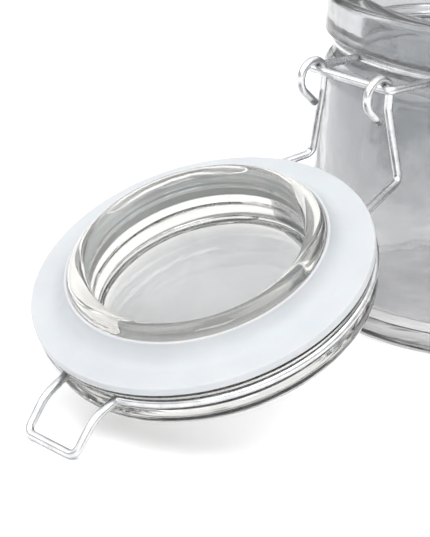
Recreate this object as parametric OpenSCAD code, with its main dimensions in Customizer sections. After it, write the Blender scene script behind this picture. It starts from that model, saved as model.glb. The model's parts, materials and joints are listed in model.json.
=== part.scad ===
// Lidded glass canister with a wire hinge at the back and a wire toggle latch at the front.
// Row frame: +Z up, the jar's axis is Z, the base plane is z = 0.
// The hinge is on the +Y side and the latch on the -Y side; the lid is drawn open.

/* [Jar] */
// Outside radius of the straight body
body_r = 51.5; // [50:0.5:53]
// Radius of the base's outline
foot_r = 50; // [49:0.5:51]
// Glass thickness of the body
wall = 3.2; // [2.5:0.1:4.5]
// Thickness of the glass floor
floor_t = 6; // [4:0.5:9]
// Height where the shoulder begins
shoulder_z = 74; // [70:1:75]
// Outside radius of the mouth rim
mouth_r = 52; // [51:0.5:52]
// Radius of the mouth opening
mouth_in_r = 41.5; // [39:0.5:43]

/* [Lid] */
// Outside radius of the seal
seal_r = 47.5; // [47:0.5:48]
// Radius of the seal's hole
seal_in_r = 35; // [34.5:0.5:36]
// Thickness of the seal
seal_t = 2.6; // [2:0.2:3]
// Height of the seal's inner lip, which hugs the collar
lip_h = 5.5; // [4:0.5:6]
// Outside radius of the lid's collar
collar_r = 35.6; // [35.4:0.1:36]
// Height of the collar above the seal
collar_h = 8; // [6:0.5:9]
// Radius of the recess inside the collar
recess_r = 29.6; // [28:0.2:31]
// Depth of the recess floor below the seal's face
recess_d = 9.6; // [8:0.2:10]
// Overall depth of the lid's glass below the seal's face
lid_d = 15.6; // [14:0.2:16.4]
// Radius of the lid's rounded outer edge
lid_edge_r = 46; // [45.5:0.1:46.4]

/* [Wire] */
// Diameter of the spring wire
wire_d = 2.4; // [2:0.1:2.5]
// Radius of the wire ring round the lid
lid_ring_r = 46.3; // [46.1:0.1:46.5]
// Distance of the lid ring's plane below the seal's face
lid_ring_d = 6.2; // [6:0.1:6.6]
// Radius of the wire ring in the neck groove
neck_ring_r = 48.5; // [48.3:0.1:48.7]

/* [Hinge] */
// Distance of the hinge axis from the jar's axis
hinge_y = 69; // [68.5:0.5:70.5]
// Height of the hinge axis and of the neck groove
hinge_z = 83; // [82:0.5:85]
// Height of the lid ring above the hinge axis when closed
ring_rise = 21.4; // [20.8:0.2:22.4]
// Half width of the hinge bar between its arms
bar_half = 14.8; // [14:0.1:15.5]
// Half distance between the two hooks
hook_half = 12.1; // [11:0.1:12.1]
// Half width of the legs at their bend
leg_half = 16.2; // [15.5:0.1:18]

/* [Latch] */
// Distance of the latch bar from the jar's axis
latch_y = 57; // [56.6:0.2:58.4]
// Half width of the latch bar between its arms
latch_half = 9.4; // [9:0.2:9.8]
// Length of the lever below its pivot
lever_l = 36; // [32:1:37]
// How far the lever's end stands out from its pivots
lever_lean = 2; // [1:0.5:3]
// Half width of the stirrup
stirrup_half = 13; // [12.8:0.1:13.4]
// Drop of the stirrup's pivot below the lever's pivot
toggle_drop = 10.6; // [10.4:0.2:11]

/* [Hidden] */
$fn = 48;
// a straight stretch runs this far into the arc at its end, and arcs are this much thicker
lap = 0.2;
arc_extra = 0.02;
glass_gap = 0.2;
run_gap = 0.06;
wr = wire_d / 2;
arc_wr = wr + arc_extra;
// closed lid: the seal's face and the mouth's top
seal_z = hinge_z + ring_rise - lid_ring_d;
jar_h = seal_z - glass_gap;
// open lid: its tongue's tip touches the plane the jar stands on
tongue_reach = 63;
tongue_drop = 5.35;
tongue_flat = 8.4;
tongue_half = 9.6;
tip_half = 9.1;
tip_out = hinge_y + tongue_reach;
tip_down = ring_rise + tongue_drop;
tip_dist = sqrt(tip_out * tip_out + tip_down * tip_down);
open_tilt = asin((hinge_z - wr) / tip_dist) - atan2(tip_down, tip_out);
// ring to leg
leg_root = 21.5;
leg_y = 5.9;
leg_out = 5.5;
hook_r = 4.9;
hook_back = 3.5;
hook_drop = 2;
tail_l = 7.9;

// ---- helpers ----

// points of an arc in a profile, centre c, radius r, from angle a to angle b
function arc2(c, r, a, b, n = 6) =
    [for (i = [0 : n]) c + r * [cos(a + (b - a) * i / n), sin(a + (b - a) * i / n)]];

// points of a shallow dome from the axis to radius r, rising by s
function dome(r, z, s, n = 5) =
    [for (i = [0 : n]) [r * i / n, z + s * pow(i / n, 2)]];

function unit(v) = v / norm(v);

// Euler angles that turn X to u and Z to w, for unit u and w square to each other
function turn(u, w) = let (v = cross(w, u))
    [atan2(v[2], w[2]), -asin(max(-1, min(1, u[2]))), atan2(u[1], u[0])];

// length cut off each side of a corner by a bend of radius r
function cut(a, b, c, r) =
    let (t = acos(max(-1, min(1, unit(a - b) * unit(c - b)))))
    r / tan(t / 2);

module rod(a, b, r = wr) {
    d = b - a;
    l = norm(d);
    translate(a)
        rotate([0, acos(d[2] / l), atan2(d[1], d[0])])
            cylinder(r = r, h = l);
}

// a bend of radius r at corner b between a and c
module elbow(a, b, c, r) {
    p = unit(a - b);
    q = unit(c - b);
    t = acos(p * q);
    w = unit(cross(p, q));
    mid = unit(p + q);
    o = b + mid * r / sin(t / 2);
    // from the centre towards the tangent point on the a side
    arc(o, unit(b + p * r / tan(t / 2) - o), -w, r, 180 - t);
}

// a wire through the points, bent at each inner point with radius r, or r[i] where r is a list;
// its straight ends are set into the arcs there
module wire(pts, r) {
    n = len(pts);
    rs = [for (i = [0 : n - 1]) is_list(r) ? r[i] : r];
    for (i = [0 : n - 2]) {
        d = unit(pts[i + 1] - pts[i]);
        from = i == 0 ? 0 : cut(pts[i - 1], pts[i], pts[i + 1], rs[i]);
        to = i == n - 2 ? 0 : cut(pts[i], pts[i + 1], pts[i + 2], rs[i + 1]);
        rod(pts[i] + d * (from - lap), pts[i + 1] - d * (to - lap));
    }
    for (i = [1 : 1 : n - 2])
        elbow(pts[i - 1], pts[i], pts[i + 1], rs[i]);
}

// an arc of wire, centre c, from c + u * r through s degrees about the axis w
module arc(c, u, w, r, s) {
    translate(c)
        rotate(turn(u, w))
            rotate_extrude(angle = s)
                translate([r, 0])
                    circle(r = arc_wr);
}

module both_sides() {
    children();
    mirror([1, 0, 0])
        children();
}

// lid frame: origin on the seal's face at the lid's axis, +Y away from the hinge, +Z out of the jar side
module in_lid() {
    translate([0, hinge_y, hinge_z])
        rotate([-open_tilt, 0, 0])
            translate([0, hinge_y, lid_ring_d - ring_rise])
                children();
}

// ---- jar ----

module glass_jar() {
    in_r = body_r - wall;
    groove_r = neck_ring_r - wr - 0.1;
    outline = concat(
        [[0, 1.6], [38, 1.2], [41, 0], [47, 0]],
        arc2([foot_r - 3, 3.2], 3.2, -80, -8, 4),
        [[body_r, 9]],
        arc2([body_r - 5, shoulder_z], 5, 0, 60, 5),
        [[groove_r + 0.6, hinge_z - 2.6]],
        arc2([groove_r + 1.3, hinge_z], 1.3, 240, 120, 4),
        [[groove_r + 1.6, hinge_z + 2]],
        arc2([mouth_r - 1, hinge_z + 3.2], 1, -60, 0, 3),
        arc2([mouth_r - 2.4, jar_h - 2.4], 2.4, 0, 90, 4),
        arc2([mouth_in_r + 1.5, jar_h - 1.5], 1.5, 90, 180, 3),
        [[mouth_in_r, hinge_z + 2]],
        arc2([in_r - 13, shoulder_z - 4], 13, 42, 0, 5),
        arc2([in_r - 8, floor_t + 8], 8, 0, -90, 5),
        [[0, floor_t + 0.6]]);
    color("lightcyan", 0.4)
        rotate_extrude()
            polygon(outline);
}

// one wire: a ring in the neck groove with a bar behind for the hinge and one in front for the latch
module neck_wire() {
    arm_y = sqrt(neck_ring_r * neck_ring_r - bar_half * bar_half);
    front_y = sqrt(neck_ring_r * neck_ring_r - latch_half * latch_half);
    color("silver") {
        arc([0, 0, hinge_z], [1, 0, 0], [0, 0, 1], neck_ring_r, 360);
        wire([[-bar_half, arm_y, hinge_z], [-bar_half, hinge_y, hinge_z],
            [bar_half, hinge_y, hinge_z], [bar_half, arm_y, hinge_z]], wr + 0.2);
        wire([[-latch_half, -front_y, hinge_z], [-latch_half, -latch_y, hinge_z],
            [latch_half, -latch_y, hinge_z], [latch_half, -front_y, hinge_z]], wr + 0.2);
    }
}

// ---- lid ----

module glass_lid() {
    seat = -seal_t;
    outline = concat(
        dome(40, -lid_d, 0.5),
        arc2([lid_edge_r - 3.3, -lid_d + 3.7], 3.3, -75, 45, 6),
        arc2([lid_ring_r, -lid_ring_d], wr + 0.1, 235, 125, 5),
        [[seal_r - 0.7, -lid_ring_d + wr + 0.5], [seal_r - 0.2, seat - 0.6], [seal_r - 0.5, seat]],
        [[seal_in_r - 0.1, seat], [seal_in_r - 0.1, 0.8], [collar_r, 2.6]],
        arc2([collar_r - 3, collar_h - 3], 3, 0, 180, 10),
        [[recess_r + 0.9, 2.2], [recess_r + 0.5, -2.5], [recess_r + 1.2, -4]],
        arc2([recess_r - 1.4, -recess_d + 2.4], 2.4, 0, -90, 4),
        [[0, -recess_d - 0.3]]);
    color("lightcyan", 0.5)
        in_lid()
            rotate_extrude()
                polygon(outline);
}

module lid_gasket() {
    outline = concat(
        [[collar_r + 0.1, lip_h], [collar_r + 0.1, 2.5], [seal_in_r, 0.6], [seal_in_r, -seal_t]],
        arc2([seal_r - 0.5, -seal_t + 0.5], 0.5, -90, 0, 2),
        arc2([seal_r - 0.5, -0.5], 0.5, 0, 90, 2),
        arc2([collar_r + 1 + lip_h, lip_h], lip_h, -90, -180, 6));
    color("white")
        in_lid()
            rotate_extrude()
                polygon(outline);
}

// one wire: a tongue in front, half a ring each side in the lid's groove, two legs and two hooks behind
module lid_wire() {
    z0 = -lid_ring_d;
    // each end of the half ring runs straight for a short way into its bend
    lead = 2.1;
    corner_r = norm([lid_ring_r, lead]);
    lead_a = atan(lead / lid_ring_r);
    root_a = acos(tongue_half / corner_r);
    leg_a = -acos(leg_root / corner_r);
    root_y = corner_r * sin(root_a);
    leg_y0 = corner_r * sin(leg_a);
    start = lid_ring_r * [cos(root_a - lead_a), sin(root_a - lead_a)];
    end = lid_ring_r * [cos(leg_a + lead_a), sin(leg_a + lead_a)];
    // world up and world outward directions in the lid's frame
    up = [0, -sin(open_tilt), cos(open_tilt)];
    out = [0, cos(open_tilt), sin(open_tilt)];
    hinge = [hook_half, -hinge_y, ring_rise - lid_ring_d];
    hook_c = hinge + out * (hook_r - hook_back) - up * hook_drop;
    leg_top = hook_c - out * hook_r;
    // the hook's tail runs from a tangent point of its arc to just short of the leg
    tail = [wire_d + 0.25 - hook_r, -tail_l];
    tail_a = atan2(tail[1], tail[0]) + acos(hook_r / norm(tail));
    tail_top = hook_c + hook_r * (out * cos(tail_a) + up * sin(tail_a));
    tail_end = hook_c + out * tail[0] + up * tail[1];
    color("silver")
        in_lid() {
            wire([[start[0], start[1], z0],
                [tongue_half, root_y, z0],
                [tongue_half - 0.3, root_y + tongue_flat, z0],
                [tip_half, tongue_reach, z0 - tongue_drop],
                [-tip_half, tongue_reach, z0 - tongue_drop],
                [0.3 - tongue_half, root_y + tongue_flat, z0],
                [-tongue_half, root_y, z0],
                [-start[0], start[1], z0]], [0, 2, 11, 2.4, 2.4, 11, 2, 0]);
            both_sides() {
                arc([0, 0, z0], [cos(leg_a + lead_a), sin(leg_a + lead_a), 0], [0, 0, 1],
                    lid_ring_r, root_a - leg_a - 2 * lead_a);
                wire([[end[0], end[1], z0],
                    [leg_root, leg_y0, z0],
                    [leg_half, leg_y - hinge_y, z0 - leg_out],
                    leg_top - up * 4,
                    leg_top], 2.4);
                arc(hook_c, out * cos(tail_a) + up * sin(tail_a), [1, 0, 0], hook_r, 180 - tail_a);
                rod(tail_top - unit(tail_end - tail_top) * lap, tail_end);
            }
        }
}

// ---- latch ----

// the stirrup's pin on the lever, and the place of its bar when it holds the tongue
pin_r = wr * 0.9;
toggle_y = 1 - latch_y;
toggle_z = hinge_z - toggle_drop;
catch_y = -lid_ring_r - 5;
catch_z = hinge_z + ring_rise + wire_d + 0.3;

// a wire handle with two eyes round the latch bar and a cross pin for the stirrup
module latch_lever() {
    arm = 5.2;
    eye_r = wire_d + arc_extra + run_gap;
    drop = toggle_drop + 4;
    // the arm leaves its eye on the tangent that passes through the pin's axis
    to_pin = [toggle_y + latch_y, -toggle_drop];
    arm_a = atan2(to_pin[1], to_pin[0]) - acos(eye_r / norm(to_pin));
    from = [arm, eye_r * cos(arm_a) - latch_y, hinge_z + eye_r * sin(arm_a)];
    pin = [arm, toggle_y, toggle_z];
    bend = pin + unit(pin - from) * 4;
    low = hinge_z - lever_l;
    color("silver") {
        both_sides()
            arc([arm, -latch_y, hinge_z], [0, cos(arm_a), sin(arm_a)], [1, 0, 0], eye_r, 320);
        wire([from, bend,
            [arm + 2.6, toggle_y - lever_lean, low],
            [-arm - 2.6, toggle_y - lever_lean, low],
            [-bend[0], bend[1], bend[2]],
            [-from[0], from[1], from[2]]], 2.4);
        rod([-stirrup_half - 2.6, toggle_y, toggle_z], [stirrup_half + 2.6, toggle_y, toggle_z], pin_r);
        both_sides()
            translate([stirrup_half + 2, toggle_y, toggle_z])
                rotate([0, 90, 0])
                    cylinder(r = pin_r + 1, h = 1);
    }
}

// a wire loop that turns on the lever's pin and hooks over the lid's tongue, drawn hanging
module latch_stirrup() {
    eye_r = arc_wr + pin_r + run_gap;
    reach = norm([catch_y - toggle_y, catch_z - toggle_z]);
    side_y = toggle_y - eye_r;
    end_z = toggle_z - sqrt(reach * reach - eye_r * eye_r);
    color("silver") {
        both_sides()
            arc([stirrup_half, toggle_y, toggle_z], [0, -1, 0], [-1, 0, 0], eye_r, 310);
        wire([[-stirrup_half, side_y, toggle_z],
            [-stirrup_half, side_y, end_z],
            [stirrup_half, side_y, end_z],
            [stirrup_half, side_y, toggle_z]], 2.4);
    }
}

glass_jar();
neck_wire();
glass_lid();
lid_gasket();
lid_wire();
latch_lever();
latch_stirrup();
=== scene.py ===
import json
import math

import bpy
from mathutils import Matrix, Vector, noise


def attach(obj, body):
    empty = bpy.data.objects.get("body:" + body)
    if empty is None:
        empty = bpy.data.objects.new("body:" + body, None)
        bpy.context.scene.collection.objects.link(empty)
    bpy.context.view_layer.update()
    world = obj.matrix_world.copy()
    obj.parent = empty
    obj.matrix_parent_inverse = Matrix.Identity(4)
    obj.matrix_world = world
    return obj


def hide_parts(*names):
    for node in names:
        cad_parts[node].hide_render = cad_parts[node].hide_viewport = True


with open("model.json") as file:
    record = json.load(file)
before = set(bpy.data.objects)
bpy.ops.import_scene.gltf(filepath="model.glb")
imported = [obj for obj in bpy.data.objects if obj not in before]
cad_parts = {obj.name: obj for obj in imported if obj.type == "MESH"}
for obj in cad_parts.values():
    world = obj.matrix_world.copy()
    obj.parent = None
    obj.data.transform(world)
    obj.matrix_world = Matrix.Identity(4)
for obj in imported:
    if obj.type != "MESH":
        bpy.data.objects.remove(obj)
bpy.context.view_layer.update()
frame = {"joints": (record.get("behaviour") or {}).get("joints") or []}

MM = 0.001
scene = bpy.context.scene

# ---- dimensions of the part, in millimetres, as its source has them ----

WIRE_R = 1.2
BODY_R, FOOT_R, WALL, FLOOR_T = 51.5, 50.0, 3.2, 6.0
SHOULDER_Z, MOUTH_R, MOUTH_IN_R = 74.0, 52.0, 41.5
SEAL_R, SEAL_IN_R, SEAL_T, LIP_H = 47.5, 35.0, 2.6, 5.5
COLLAR_R, COLLAR_H, RECESS_R, RECESS_D = 35.6, 8.0, 29.6, 9.6
LID_D, LID_EDGE_R, LID_RING_R, LID_RING_D = 15.6, 46.0, 46.3, 6.2
NECK_RING_R = 48.5
RING_RISE, BAR_HALF, HOOK_HALF, LEG_HALF = 21.4, 14.8, 12.1, 16.2
LATCH_HALF, LEVER_L, LEVER_LEAN, STIRRUP_HALF = 9.4, 36.0, 2.0, 13.0
TONGUE_REACH, TONGUE_DROP, TONGUE_FLAT = 63.0, 5.35, 8.4
TONGUE_HALF, TIP_HALF = 9.6, 9.1
LEG_ROOT, LEG_Y, LEG_OUT = 21.5, 5.9, 5.5
HOOK_R, HOOK_BACK, HOOK_DROP, TAIL_L = 4.9, 3.5, 2.0, 7.9
PIN_R = 0.9 * WIRE_R
# the gap in an eye that turns, the gap under the closed lid's seal, and how much thicker arcs are
RUN_GAP, GLASS_GAP, ARC_EXTRA = 0.06, 0.2, 0.02
# the usual bend of a wire and its steps, and the longest stretch left undivided
BEND_R, BEND_STEPS, STRETCH = 2.4, 8, 3.0

joints = {j["name"]: Vector(j["pos_m"]) / MM for j in frame["joints"]}
HINGE_Y, HINGE_Z = joints["lid_hinge"].y, joints["lid_hinge"].z
LATCH_Y = -joints["lever_pivot"].y
TOGGLE_Y, TOGGLE_Z = joints["stirrup_pivot"].y, joints["stirrup_pivot"].z
JAR_H = HINGE_Z + RING_RISE - LID_RING_D - GLASS_GAP

tip_out, tip_down = HINGE_Y + TONGUE_REACH, RING_RISE + TONGUE_DROP
OPEN_TILT = (math.asin((HINGE_Z - WIRE_R) / math.hypot(tip_out, tip_down))
             - math.atan2(tip_down, tip_out))

# the lid's own frame: origin on the seal's face, +Y away from the hinge, +Z out of the jar side
IN_LID = (Matrix.Translation((0, HINGE_Y, HINGE_Z))
          @ Matrix.Rotation(-OPEN_TILT, 4, "X")
          @ Matrix.Translation((0, HINGE_Y, LID_RING_D - RING_RISE)))
UPRIGHT = Matrix.Identity(4)


# ---- shapes ----

def arc2(c, r, a, b, n=12):
    """Points of an arc in a profile, centre c, radius r, from a to b degrees."""
    angles = [math.radians(a + (b - a) * i / n) for i in range(n + 1)]
    return [(c[0] + r * math.cos(t), c[1] + r * math.sin(t)) for t in angles]


def fillet(points, r, steps=5, closed=False, least=9.0):
    """The line with its corners rounded to radius r, or each inner corner to its own in a tuple r,
    where there's room. Bends of less than `least` degrees stay as they are."""
    points = [Vector(p) for p in points]
    n, out = len(points), []
    for i, b in enumerate(points):
        if not closed and i in (0, n - 1):
            out.append(b)
            continue
        a, c = points[i - 1], points[(i + 1) % n]
        p, q = a - b, c - b
        bend = math.pi - p.angle(q)
        radius = r[i - 1] if isinstance(r, tuple) else r
        if bend < math.radians(least):
            out.append(b)
            continue
        room = 0.47 * min(p.length, q.length)
        back = min(radius * math.tan(bend / 2), room)
        rr = back / math.tan(bend / 2)
        p, q = p.normalized(), q.normalized()
        mid = b + (p + q).normalized() * (rr / math.cos(bend / 2))
        u = (b + p * back - mid).normalized()
        w = (b + q * back - mid)
        w = (w - u * w.dot(u)).normalized()
        out += [mid + rr * (u * math.cos(bend * k / steps) + w * math.sin(bend * k / steps))
                for k in range(steps + 1)]
    return out


def spaced(points, longest, edge=0.3, closed=False):
    """The line with long stretches divided, and a point close to each end of them, which keeps
    the shading local."""
    out, n = [], len(points)
    for i in range(n if closed else n - 1):
        a, b = Vector(points[i]), Vector(points[(i + 1) % n])
        d = (b - a).length
        out.append(a)
        if d > 4 * edge:
            cuts = max(1, math.ceil((d - 2 * edge) / longest))
            out += [a + (b - a) * ((edge + (d - 2 * edge) * k / cuts) / d)
                    for k in range(cuts + 1)]
    if not closed:
        out.append(Vector(points[-1]))
    return out


def mesh_object(name, verts, faces, place=UPRIGHT):
    mesh = bpy.data.meshes.new(name)
    mesh.from_pydata([tuple(MM * (place @ Vector(v))) for v in verts], [], faces)
    mesh.validate()
    mesh.shade_smooth()
    mesh.update()
    obj = bpy.data.objects.new(name, mesh)
    scene.collection.objects.link(obj)
    return obj


def revolve(name, profile, place=UPRIGHT, around=192, ripple=None):
    """A solid of revolution. A profile that starts on the axis is open, any other is a loop."""
    on_axis = profile[0][0] < 1e-6
    verts, rows = [], []
    for r, z in profile:
        if r < 1e-6:
            rows.append([len(verts)] * around)
            verts.append((0.0, 0.0, z))
            continue
        rows.append([len(verts) + k for k in range(around)])
        for k in range(around):
            t = 2 * math.pi * k / around
            dr, dz = ripple(r, z, t) if ripple else (0.0, 0.0)
            verts.append(((r + dr) * math.cos(t), (r + dr) * math.sin(t), z + dz))
    faces = []
    for i in range(len(rows) - 1 if on_axis else len(rows)):
        low, high = rows[i], rows[(i + 1) % len(rows)]
        for k in range(around):
            m = (k + 1) % around
            face = [low[k], low[m], high[m], high[k]]
            faces.append(list(dict.fromkeys(face)))
    return mesh_object(name, verts, faces, place)


def tube(name, path, r, place=UPRIGHT, closed=False, around=20):
    """A round wire along the path, its cut ends rounded over."""
    path = [Vector(p) for p in path]
    n = len(path)
    along = []
    for i in range(n):
        a = path[i - 1] if closed or i > 0 else path[i]
        b = path[(i + 1) % n] if closed or i < n - 1 else path[i]
        along.append((b - a).normalized())
    side = along[0].orthogonal().normalized()
    sides = []
    for i in range(n):
        side = (side - along[i] * side.dot(along[i])).normalized()
        sides.append(side)
    rings = [(p, r, i) for i, p in enumerate(path)]
    if not closed:
        cap = [(math.cos(t), math.sin(t)) for t in (math.radians(15 * k) for k in range(6, 0, -1))]
        soft = 0.45 * r
        first = [(path[0] + along[0] * soft * (1 - s), r - soft * (1 - c), 0) for c, s in cap]
        last = [(path[-1] - along[-1] * soft * (1 - s), r - soft * (1 - c), n - 1) for c, s in cap]
        rings = first + rings[1:-1] + last[::-1]
    verts = []
    for p, radius, i in rings:
        across = along[i].cross(sides[i])
        verts += [p + radius * (sides[i] * math.cos(t) + across * math.sin(t))
                  for t in (2 * math.pi * k / around for k in range(around))]
    faces, count = [], len(rings)
    for i in range(count if closed else count - 1):
        j = (i + 1) % count
        for k in range(around):
            m = (k + 1) % around
            faces.append([i * around + k, i * around + m, j * around + m, j * around + k])
    if not closed:
        faces.append(list(range(around))[::-1])
        faces.append([(count - 1) * around + k for k in range(around)])
    return mesh_object(name, verts, faces, place)


def arc3(c, u, v, r, s, n):
    """Points of an arc in space, centre c, from c + r u through s degrees towards v."""
    c, u, v = Vector(c), Vector(u), Vector(v)
    angles = [math.radians(s * i / n) for i in range(n + 1)]
    return [c + r * (u * math.cos(t) + v * math.sin(t)) for t in angles]


def mirrored(path):
    return [Vector((-p[0], p[1], p[2])) for p in reversed(path)]


# ---- jar ----

in_r = BODY_R - WALL
groove_r = NECK_RING_R - WIRE_R - 0.1
jar_profile = (
    [(0, 1.6), (38, 1.2), (41, 0), (47, 0)]
    + arc2((FOOT_R - 3, 3.2), 3.2, -80, -8)
    + [(BODY_R, 9)]
    + arc2((BODY_R - 5, SHOULDER_Z), 5, 0, 60)
    + [(groove_r + 0.6, HINGE_Z - 2.6)]
    + arc2((groove_r + 1.3, HINGE_Z), 1.3, 240, 120)
    + [(groove_r + 1.6, HINGE_Z + 2)]
    + arc2((MOUTH_R - 1, HINGE_Z + 3.2), 1, -60, 0)
    + arc2((MOUTH_R - 2.4, JAR_H - 2.4), 2.4, 0, 90)
    + arc2((MOUTH_IN_R + 1.5, JAR_H - 1.5), 1.5, 90, 180)
    + [(MOUTH_IN_R, HINGE_Z + 2)]
    + arc2((in_r - 13, SHOULDER_Z - 4), 13, 42, 0)
    + arc2((in_r - 8, FLOOR_T + 8), 8, 0, -90)
    + [(0, FLOOR_T + 0.6)])


def jar_ripple(r, z, t):
    """Pressed glass is never quite true: its walls wander by under a tenth of a millimetre."""
    p = Vector((r * math.cos(t), r * math.sin(t), z))
    fade = min(1.0, max(0.0, (z - 4) / 8), max(0.0, (HINGE_Z - 6 - z) / 8))
    if r < in_r - 2 or fade <= 0:
        return 0.0, 0.0
    inner = 1.0 if r < BODY_R - 0.5 * WALL else -0.3
    return -fade * abs(inner) * 0.10 * (1 + noise.noise(p / 13 + Vector((0, 0, 7 * inner)))), 0.0


jar = revolve("jar_body", spaced(fillet(jar_profile, 1.2), STRETCH), ripple=jar_ripple)

ring_path = arc3((0, 0, HINGE_Z), (1, 0, 0), (0, 1, 0), NECK_RING_R, 360, 144)[:-1]
neck_ring = tube("neck_ring", ring_path, WIRE_R, closed=True)
arm_y = math.sqrt(NECK_RING_R ** 2 - BAR_HALF ** 2)
front_y = math.sqrt(NECK_RING_R ** 2 - LATCH_HALF ** 2)
bends = [((-BAR_HALF, arm_y), (-BAR_HALF, HINGE_Y)),
         ((-LATCH_HALF, -front_y), (-LATCH_HALF, -LATCH_Y))]
bars = []
for name, (root, corner) in zip(("hinge_bar", "latch_bar"), bends):
    half = [(*root, HINGE_Z), (*corner, HINGE_Z)]
    path = fillet(half + mirrored(half), WIRE_R + 0.2, BEND_STEPS)
    bars.append(tube(name, spaced(path, STRETCH), WIRE_R))


# ---- lid ----

seat = -SEAL_T
lid_profile = (
    [(40 * i / 8, -LID_D + 0.5 * (i / 8) ** 2) for i in range(9)]
    + arc2((LID_EDGE_R - 3.3, -LID_D + 3.7), 3.3, -75, 45)
    + arc2((LID_RING_R, -LID_RING_D), WIRE_R + 0.1, 235, 125)
    + [(SEAL_R - 0.7, -LID_RING_D + WIRE_R + 0.5), (SEAL_R - 0.2, seat - 0.6),
       (SEAL_R - 0.5, seat)]
    + [(SEAL_IN_R - 0.1, seat), (SEAL_IN_R - 0.1, 0.8), (COLLAR_R, 2.6)]
    + arc2((COLLAR_R - 3, COLLAR_H - 3), 3, 0, 180, 24)
    + [(RECESS_R + 0.9, 2.2), (RECESS_R + 0.5, -2.5), (RECESS_R + 1.2, -4)]
    + arc2((RECESS_R - 1.4, -RECESS_D + 2.4), 2.4, 0, -90)
    + [(0, -RECESS_D - 0.3)])
lid = revolve("lid_glass", spaced(fillet(lid_profile, 0.5), STRETCH), IN_LID)

seal_profile = (
    [(COLLAR_R + 0.1, LIP_H), (COLLAR_R + 0.1, 2.5), (SEAL_IN_R, 0.6), (SEAL_IN_R, -SEAL_T)]
    + arc2((SEAL_R - 0.5, -SEAL_T + 0.5), 0.5, -90, 0, 5)
    + arc2((SEAL_R - 0.5, -0.5), 0.5, 0, 90, 5)
    + arc2((COLLAR_R + 1 + LIP_H, LIP_H), LIP_H, -90, -180, 16))
seal_profile = fillet(seal_profile, 0.35, closed=True)
seal = revolve("seal_ring", spaced(seal_profile, 2.0, closed=True), IN_LID)

# one wire: hook, leg, half ring, tongue, and back the same way
z0 = -LID_RING_D
# each end of the half ring runs straight for a short way into its bend
lead = 2.1
corner_r = math.hypot(LID_RING_R, lead)
lead_a = math.atan(lead / LID_RING_R)
root_a = math.acos(TONGUE_HALF / corner_r)
leg_a = -math.acos(LEG_ROOT / corner_r)
root = (TONGUE_HALF, corner_r * math.sin(root_a), z0)
leg_root = (LEG_ROOT, corner_r * math.sin(leg_a), z0)
up = Vector((0, -math.sin(OPEN_TILT), math.cos(OPEN_TILT)))
out = Vector((0, math.cos(OPEN_TILT), math.sin(OPEN_TILT)))
hinge = Vector((HOOK_HALF, -HINGE_Y, RING_RISE - LID_RING_D))
hook_c = hinge + out * (HOOK_R - HOOK_BACK) - up * HOOK_DROP
leg_top = hook_c - out * HOOK_R
tail = Vector((2 * WIRE_R + 0.25 - HOOK_R, -TAIL_L))
tail_a = math.atan2(tail.y, tail.x) + math.acos(HOOK_R / tail.length)
hook = arc3(hook_c, out * math.cos(tail_a) + up * math.sin(tail_a),
            up * math.cos(tail_a) - out * math.sin(tail_a), HOOK_R, 180 - math.degrees(tail_a), 24)
leg = fillet([leg_top, leg_top - up * 4, (LEG_HALF, LEG_Y - HINGE_Y, z0 - LEG_OUT), leg_root,
              (LID_RING_R * math.cos(leg_a + lead_a), LID_RING_R * math.sin(leg_a + lead_a), z0)],
             BEND_R, BEND_STEPS)
sweep = math.degrees(root_a - leg_a - 2 * lead_a)
first = leg_a + lead_a
half_ring = arc3((0, 0, z0), (math.cos(first), math.sin(first), 0),
                 (-math.sin(first), math.cos(first), 0), LID_RING_R, sweep, 72)
tongue = fillet([half_ring[-1], root, (TONGUE_HALF - 0.3, root[1] + TONGUE_FLAT, z0),
                 (TIP_HALF, TONGUE_REACH, z0 - TONGUE_DROP),
                 (-TIP_HALF, TONGUE_REACH, z0 - TONGUE_DROP)], (2.0, 11.0, BEND_R), BEND_STEPS)
half = [hook_c + out * tail.x + up * tail.y] + hook + leg[1:] + half_ring[1:-1] + tongue[:-1]
lid_wire = tube("lid_wire_loop", spaced(half + mirrored(half), STRETCH), WIRE_R, IN_LID)


# ---- latch ----

arm = 5.2
eye_r = 2 * WIRE_R + ARC_EXTRA + RUN_GAP
to_pin = Vector((TOGGLE_Y + LATCH_Y, TOGGLE_Z - HINGE_Z))
arm_a = math.atan2(to_pin.y, to_pin.x) - math.acos(eye_r / to_pin.length)
start = Vector((arm, eye_r * math.cos(arm_a) - LATCH_Y, HINGE_Z + eye_r * math.sin(arm_a)))
pin = Vector((arm, TOGGLE_Y, TOGGLE_Z))
eye = arc3((arm, -LATCH_Y, HINGE_Z), (0, math.cos(arm_a), math.sin(arm_a)),
           (0, -math.sin(arm_a), math.cos(arm_a)), eye_r, 320, 40)[::-1]
low = HINGE_Z - LEVER_L
handle = [eye[-1], pin + (pin - start).normalized() * 4, (arm + 2.6, TOGGLE_Y - LEVER_LEAN, low)]
handle = fillet(handle + mirrored(handle), BEND_R, BEND_STEPS)
lever = tube("lever_wire", spaced(eye[:-1] + handle + mirrored(eye[:-1]), STRETCH), WIRE_R)
pin_end = STIRRUP_HALF + 2.6
pin_path = [(-pin_end, TOGGLE_Y, TOGGLE_Z), (pin_end, TOGGLE_Y, TOGGLE_Z)]
cross_pin = tube("lever_pin", spaced(pin_path, STRETCH), PIN_R)
heads = [tube(f"pin_head_{side}",
              [(s * (STIRRUP_HALF + step), TOGGLE_Y, TOGGLE_Z) for step in (2, 2.5, 3)], PIN_R + 1)
         for side, s in (("left", -1), ("right", 1))]

loop_r = WIRE_R + ARC_EXTRA + PIN_R + RUN_GAP
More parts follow.
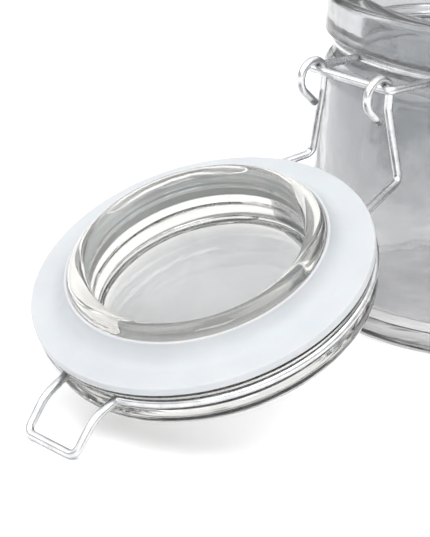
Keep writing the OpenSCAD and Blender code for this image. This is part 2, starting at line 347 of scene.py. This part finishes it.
# where the stirrup's bar lies when it holds the tongue
catch_y = -LID_RING_R - 5
catch_z = HINGE_Z + RING_RISE + 2 * WIRE_R + 0.3
reach = math.hypot(catch_y - TOGGLE_Y, catch_z - TOGGLE_Z)
end_z = TOGGLE_Z - math.sqrt(reach ** 2 - loop_r ** 2)
side_y = TOGGLE_Y - loop_r
loop = arc3((STIRRUP_HALF, TOGGLE_Y, TOGGLE_Z), (0, -1, 0), (0, 0, 1), loop_r, 310, 40)[::-1]
bail = [loop[-1], (STIRRUP_HALF, side_y, end_z)]
bail = fillet(bail + mirrored(bail), BEND_R, BEND_STEPS)
stirrup = tube("stirrup_wire", spaced(loop[:-1] + bail + mirrored(loop[:-1]), STRETCH), WIRE_R)


# ---- materials ----

class Nodes:
    """A material's node tree, with short calls to add and link nodes."""

    def __init__(self, name):
        self.material = bpy.data.materials.new(name)
        self.material.use_nodes = True
        self.tree = self.material.node_tree
        self.shader = self.tree.nodes["Principled BSDF"]
        self.where = self.add("ShaderNodeTexCoord").outputs["Object"]

    def add(self, kind, **values):
        node = self.tree.nodes.new(kind)
        for key, value in values.items():
            if key in node.inputs:
                node.inputs[key].default_value = value
            else:
                setattr(node, key, value)
        return node

    def link(self, source, target):
        self.tree.links.new(source, target)

    def feed(self, name, source):
        self.link(source, self.shader.inputs[name])

    def noise(self, scale, detail, rough=0.5, warp=0.0):
        node = self.add("ShaderNodeTexNoise", Scale=scale, Detail=detail, Roughness=rough,
                        Distortion=warp)
        self.link(self.where, node.inputs["Vector"])
        return node.outputs["Fac"]

    def ramp(self, fac, stops):
        node = self.add("ShaderNodeValToRGB")
        self.link(fac, node.inputs["Fac"])
        elements = node.color_ramp.elements
        while len(elements) < len(stops):
            elements.new(0.5)
        for element, (place, colour) in zip(elements, stops):
            element.position = place
            element.color = (*colour, 1)
        return node.outputs["Color"]

    def bump(self, fac, strength, distance, normal=None):
        node = self.add("ShaderNodeBump", Strength=strength, Distance=distance)
        self.link(fac, node.inputs["Height"])
        if normal:
            self.link(normal, node.inputs["Normal"])
        return node.outputs["Normal"]

    def set(self, **values):
        for key, value in values.items():
            self.shader.inputs[key.replace("_", " ")].default_value = value


def grey(*stops):
    return [(place, (value,) * 3) for place, value in stops]


def glass(name, centre, near, far, cloud, rough):
    """Pressed glass with faint clouds, a slightly uneven polish and slow ripples. Its grey is set to
    the photo's greys, and doesn't follow the glass's thickness: it changes from near to far,
    each a distance in millimetres from the centre and a colour, its darker end painted shade."""
    m = Nodes(name)
    m.set(Transmission_Weight=1.0, IOR=1.5)
    away = m.add("ShaderNodeVectorMath", operation="DISTANCE")
    m.link(m.where, away.inputs[0])
    away.inputs[1].default_value = MM * Vector(centre)
    # painted shade: the grey runs from near to far by distance from the centre, darker from the
    # jar's middle up to its mouth and across the lid's recess floor, over the glass's own light grey
    tint_and_painted_shade = m.ramp(away.outputs["Value"], [(near[0] * MM, near[1]), (far[0] * MM, far[1])])
    clouds = m.ramp(m.noise(55, 4, 0.55, warp=0.6), grey((0.30, 1 - cloud), (0.70, 1)))
    both = m.add("ShaderNodeMix", data_type="RGBA", blend_type="MULTIPLY")
    both.inputs["Factor"].default_value = 1.0
    m.link(tint_and_painted_shade, both.inputs["A"])
    m.link(clouds, both.inputs["B"])
    m.feed("Base Color", both.outputs["Result"])
    m.feed("Roughness", m.ramp(m.noise(120, 5, 0.6), grey((0.35, rough[0]), (0.75, rough[1]))))
    slow = m.bump(m.noise(65, 2, 0.5), 0.35, 0.0008)
    m.feed("Normal", m.bump(m.noise(900, 2, 0.5), 0.05, 0.0001, slow))
    return m.material


def chrome(name):
    """Plated wire, a little cloudy and unevenly polished. Its grey is darker than the plating's
    own, to suit this scene's strong lights."""
    m = Nodes(name)
    m.set(Metallic=1.0)
    m.feed("Base Color", m.ramp(m.noise(260, 4, 0.6),
                                [(0.30, (0.50, 0.51, 0.52)), (0.70, (0.70, 0.70, 0.71))]))
    m.feed("Roughness", m.ramp(m.noise(240, 3, 0.5), grey((0.30, 0.24), (0.80, 0.36))))
    m.feed("Normal", m.bump(m.noise(500, 2, 0.5), 0.06, 0.00005))
    return m.material


def silicone(name):
    """Satin silicone, a little blue, with cloudy bloom and a fine moulded grain. Its base colour is
    a mid grey, which this scene's strong lights bring up to the photo's white."""
    m = Nodes(name)
    m.set(Subsurface_Weight=0.25, Subsurface_Scale=0.002)
    m.feed("Base Color", m.ramp(m.noise(45, 4, 0.55),
                                [(0.30, (0.42, 0.44, 0.46)), (0.70, (0.465, 0.485, 0.50))]))
    m.feed("Roughness", m.ramp(m.noise(300, 4, 0.6), grey((0.30, 0.40), (0.75, 0.58))))
    slow = m.bump(m.noise(70, 2, 0.5), 0.15, 0.0008)
    m.feed("Normal", m.bump(m.noise(2200, 2, 0.5), 0.15, 0.00006, slow))
    return m.material


# the darker greys are painted shade, on the jar's upper half and the lid's recess floor; the lighter
# ones are the glass's own grey
jar_glass = glass("jar_glass", (0, 0, 0),
                  (54, (0.76, 0.76, 0.765)), (68, (0.52, 0.53, 0.545)), 0.22, (0.0, 0.16))
lid_glass = glass("lid_glass", IN_LID @ Vector((0, 0, -RECESS_D - 2)),
                  (27, (0.50, 0.505, 0.51)), (33, (0.78, 0.775, 0.75)), 0.14, (0.0, 0.14))
plated = chrome("plated_wire")
white_seal = silicone("white_silicone")


def piece(obj, body, material, slot, *nodes):
    obj.data.materials.append(material)
    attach(obj, body)
    if nodes:
        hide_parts(*nodes)


piece(jar, "jar", jar_glass, "jar_glass", "glass_jar")
piece(neck_ring, "jar", plated, "wire", "neck_wire")
for bar in bars:
    piece(bar, "jar", plated, "wire")
piece(lid, "lid", lid_glass, "lid_glass", "glass_lid")
piece(seal, "lid", white_seal, "seal", "lid_gasket")
piece(lid_wire, "lid", plated, "wire", "lid_wire")
piece(lever, "lever", plated, "wire", "latch_lever")
piece(cross_pin, "lever", plated, "wire")
for head in heads:
    piece(head, "lever", plated, "wire")
piece(stirrup, "stirrup", plated, "wire", "latch_stirrup")
# clear glass lets most light through, and the photo's floor has no shadow
jar.visible_shadow = lid.visible_shadow = False


# ---- floor, light and camera ----

FLOOR_R, FLOOR_SIDES = 4.0, 96
angles = [2 * math.pi * k / FLOOR_SIDES for k in range(FLOOR_SIDES)]
disc = [(0, 0, 0)] + [(FLOOR_R / MM * math.cos(t), FLOOR_R / MM * math.sin(t), 0) for t in angles]
floor = mesh_object("floor", disc,
                    [[0, k + 1, (k + 1) % FLOOR_SIDES + 1] for k in range(FLOOR_SIDES)])
paper = Nodes("pale_paper")
paper.set(Roughness=0.9)
paper.feed("Base Color", paper.ramp(paper.noise(4, 3), grey((0.3, 0.94), (0.7, 0.97))))
floor.data.materials.append(paper.material)

# the room: bright above, dim towards the horizon and below
WORLD_STRENGTH = 1.4
world = bpy.data.worlds.new("studio")
scene.world = world
world.use_nodes = True
tree = world.node_tree
where = tree.nodes.new("ShaderNodeTexCoord")
split = tree.nodes.new("ShaderNodeSeparateXYZ")
sky = tree.nodes.new("ShaderNodeValToRGB")
tree.links.new(where.outputs["Generated"], split.inputs["Vector"])
tree.links.new(split.outputs["Z"], sky.inputs["Fac"])
tree.links.new(sky.outputs["Color"], tree.nodes["Background"].inputs["Color"])
stops = [(0.0, 0.40), (0.25, 0.36), (0.55, 0.85), (1.0, 1.0)]
while len(sky.color_ramp.elements) < len(stops):
    sky.color_ramp.elements.new(0.5)
for element, (place, value) in zip(sky.color_ramp.elements, stops):
    element.position = place
    element.color = (value, value, value, 1)
tree.nodes["Background"].inputs["Strength"].default_value = WORLD_STRENGTH


def softbox(name, place, aim, size, power):
    data = bpy.data.lights.new(name, "AREA")
    data.shape, data.size, data.size_y, data.energy = "RECTANGLE", size[0], size[1], power
    obj = bpy.data.objects.new(name, data)
    obj.location = place
    obj.rotation_euler = (Vector(aim) - Vector(place)).to_track_quat("-Z", "Y").to_euler()
    scene.collection.objects.link(obj)


softbox("key", (-0.9, 0.3, 1.5), (0, 0.06, 0), (1.6, 1.6), 16)
softbox("fill", (0.8, 1.0, 1.2), (0, 0.06, 0), (1.2, 1.2), 8)
softbox("front", (-0.9, 1.3, 0.7), (0, 0.06, 0.03), (0.8, 0.5), 7)

# a long lens without shift: the picture's width and the focal length, both in pixels
FRAME_W, FOCAL, SENSOR_W = 430, 2000, 36
CAMERA_AT = (-0.3407, 0.4956, 0.2221)
camera_data = bpy.data.cameras.new("camera")
camera = bpy.data.objects.new("camera", camera_data)
scene.collection.objects.link(camera)
camera_data.sensor_fit = "HORIZONTAL"
camera_data.sensor_width = SENSOR_W
camera_data.lens = SENSOR_W * FOCAL / FRAME_W
camera_data.clip_start, camera_data.clip_end = 0.01, 20
azimuth, elevation, roll = math.radians(222.10), math.radians(20.01), math.radians(4.48)
back = Vector((math.sin(azimuth) * math.cos(elevation),
               -math.cos(azimuth) * math.cos(elevation), math.sin(elevation)))
right = (-back).cross(Vector((0, 0, 1))).normalized()
top = back.cross(right)
x_axis = math.cos(roll) * right + math.sin(roll) * top
y_axis = -math.sin(roll) * right + math.cos(roll) * top
turn = Matrix((x_axis, y_axis, back)).transposed().to_4x4()
camera.matrix_world = Matrix.Translation(CAMERA_AT) @ turn
scene.camera = camera
scene.view_settings.view_transform = "Standard"
